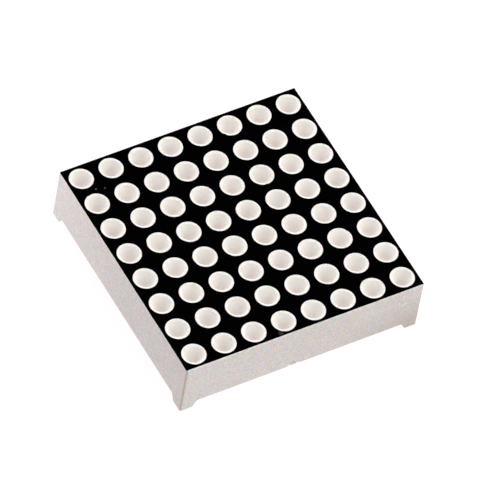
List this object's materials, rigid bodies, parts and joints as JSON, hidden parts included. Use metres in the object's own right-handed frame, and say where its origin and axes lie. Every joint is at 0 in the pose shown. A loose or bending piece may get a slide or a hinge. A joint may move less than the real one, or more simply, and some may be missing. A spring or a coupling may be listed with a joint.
{
  "type": "led dot matrix display module",
  "caption": "Square LED dot matrix display module: white moulded case, black face with round milky dots, corner feet, and rows of pins for soldering to a board.",
  "frame": {"origin": "centre of the plane on which the four corner feet stand, which is the host board's face when the module is soldered in", "axes": "+Z out of the black display face, +X along the front edge with the gate mark, from left to right, +Y to the back"},
  "size_m": [0.0318, 0.0318, 0.0118],
  "materials": {
    "white_plastic": "satin moulded",
    "black_coat": "matt ink",
    "milky_resin": "milky cast epoxy",
    "board_mask": "green solder mask",
    "copper": "etched copper under mask",
    "chip": "sawn semiconductor",
    "gold_wire": "drawn wire",
    "tinned_pin": "bright tin",
    "solder": "reflowed solder"
  },
  "bodies": {
    "root": {"housing": "white_plastic", "face_coat": "black_coat", "resin": "milky_resin", "circuit_board": "board_mask", "row_track_1": "copper", "row_track_2": "copper", "row_track_3": "copper", "row_track_4": "copper", "row_track_5": "copper", "row_track_6": "copper", "row_track_7": "copper", "row_track_8": "copper", "column_track_1": "copper", "column_track_2": "copper", "column_track_3": "copper", "column_track_4": "copper", "column_track_5": "copper", "column_track_6": "copper", "column_track_7": "copper", "column_track_8": "copper", "chips_row_1": "chip", "chips_row_2": "chip", "chips_row_3": "chip", "chips_row_4": "chip", "chips_row_5": "chip", "chips_row_6": "chip", "chips_row_7": "chip", "chips_row_8": "chip", "bond_wires_row_1": "gold_wire", "bond_wires_row_2": "gold_wire", "bond_wires_row_3": "gold_wire", "bond_wires_row_4": "gold_wire", "bond_wires_row_5": "gold_wire", "bond_wires_row_6": "gold_wire", "bond_wires_row_7": "gold_wire", "bond_wires_row_8": "gold_wire", "pin_1": "tinned_pin", "pin_2": "tinned_pin", "pin_3": "tinned_pin", "pin_4": "tinned_pin", "pin_5": "tinned_pin", "pin_6": "tinned_pin", "pin_7": "tinned_pin", "pin_8": "tinned_pin", "pin_9": "tinned_pin", "pin_10": "tinned_pin", "pin_11": "tinned_pin", "pin_12": "tinned_pin", "pin_13": "tinned_pin", "pin_14": "tinned_pin", "pin_15": "tinned_pin", "pin_16": "tinned_pin", "solder_front_row": "solder", "solder_back_row": "solder"}
  },
  "joints": []
}
